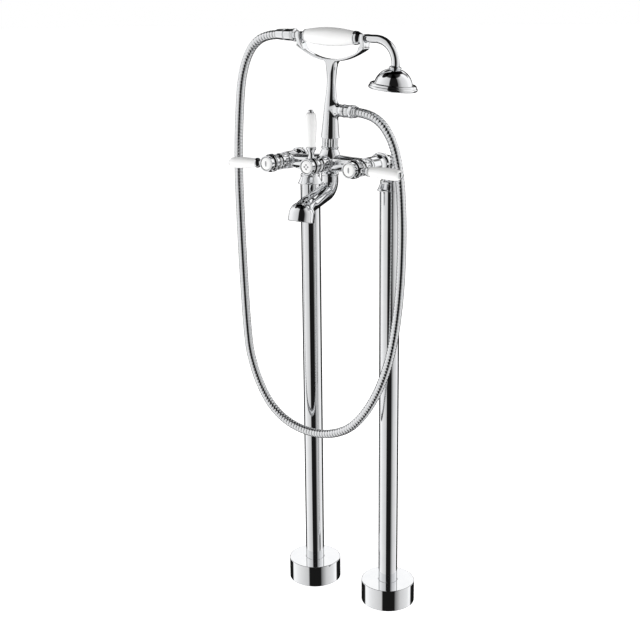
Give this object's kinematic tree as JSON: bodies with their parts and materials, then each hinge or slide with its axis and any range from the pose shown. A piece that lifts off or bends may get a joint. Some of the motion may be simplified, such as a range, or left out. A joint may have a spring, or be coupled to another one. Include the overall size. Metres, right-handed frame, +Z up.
{
  "type": "floor standing bath filler",
  "caption": "Floor standing bath filler on two legs, with lever valves, a diverter, a spout and a handset in a cradle on a flexible hose.",
  "frame": {"origin": "on the floor, midway between the hot and cold supply centres", "axes": "+Z up, -Y towards the user and the bath, +X to the user's right (cold side)"},
  "size_m": [0.3432, 0.1946, 0.9403],
  "materials": {
    "chrome": "polished chrome plate on brass",
    "ceramic": "glazed white ceramic",
    "brass": "machined brass",
    "plate_steel": "plain stainless plate",
    "supply_pipe": "plain drawn pipe",
    "face_plastic": "grey moulded plastic",
    "hose_metal": "polished interlocked metal hose"
  },
  "bodies": {
    "root": {"base_covers": "chrome", "leg_tube_hot": "chrome", "leg_tube_cold": "chrome", "leg_collars": "chrome", "leg_elbows": "chrome", "union_nuts": "chrome", "inlet_shrouds": "chrome", "mixer_body": "chrome", "valve_bonnets": "chrome", "spout": "chrome", "riser_nut": "chrome", "riser": "chrome", "cradle": "chrome", "hose_nut_tee": "chrome", "valve_cartridges": "brass", "floor_plates": "plate_steel", "supply_pipe_hot": "supply_pipe", "supply_pipe_cold": "supply_pipe", "flow_straightener": "face_plastic", "hose": "hose_metal"},
    "hot_handle": {"hot_spindle": "brass", "hot_hub": "chrome", "hot_index_disc": "ceramic", "hot_lever": "ceramic", "hot_lever_button": "chrome"},
    "cold_handle": {"cold_spindle": "brass", "cold_hub": "chrome", "cold_index_disc": "ceramic", "cold_lever": "ceramic", "cold_lever_button": "chrome"},
    "diverter_handle": {"diverter_spindle": "brass", "diverter_hub": "chrome", "diverter_index_disc": "ceramic", "diverter_lever": "ceramic", "diverter_lever_button": "chrome"},
    "handset": {"handset_inlet": "chrome", "handset_grip": "ceramic", "handset_gooseneck": "chrome", "rose_shell": "chrome", "rose_face": "face_plastic", "hose_nut_handset": "chrome"}
  },
  "joints": [
    {"name": "hot_turn", "type": "hinge", "parent": "root", "child": "hot_handle", "pos_m": [-0.075, -0.1, 0.7405], "axis": [0, -1, 0], "range_deg": [0, 90]},
    {"name": "cold_turn", "type": "hinge", "parent": "root", "child": "cold_handle", "pos_m": [0.075, -0.1, 0.7405], "axis": [0, 1, 0], "range_deg": [0, 90]},
    {"name": "diverter_turn", "type": "hinge", "parent": "root", "child": "diverter_handle", "pos_m": [0, -0.1, 0.7405], "axis": [0, 1, 0], "range_deg": [-45, 45]},
    {"name": "handset_lift", "type": "slide", "parent": "root", "child": "handset", "axis": [0.0384, 0, 0.9993], "range_m": [0, 0.08], "deforming": ["hose"]}
  ]
}
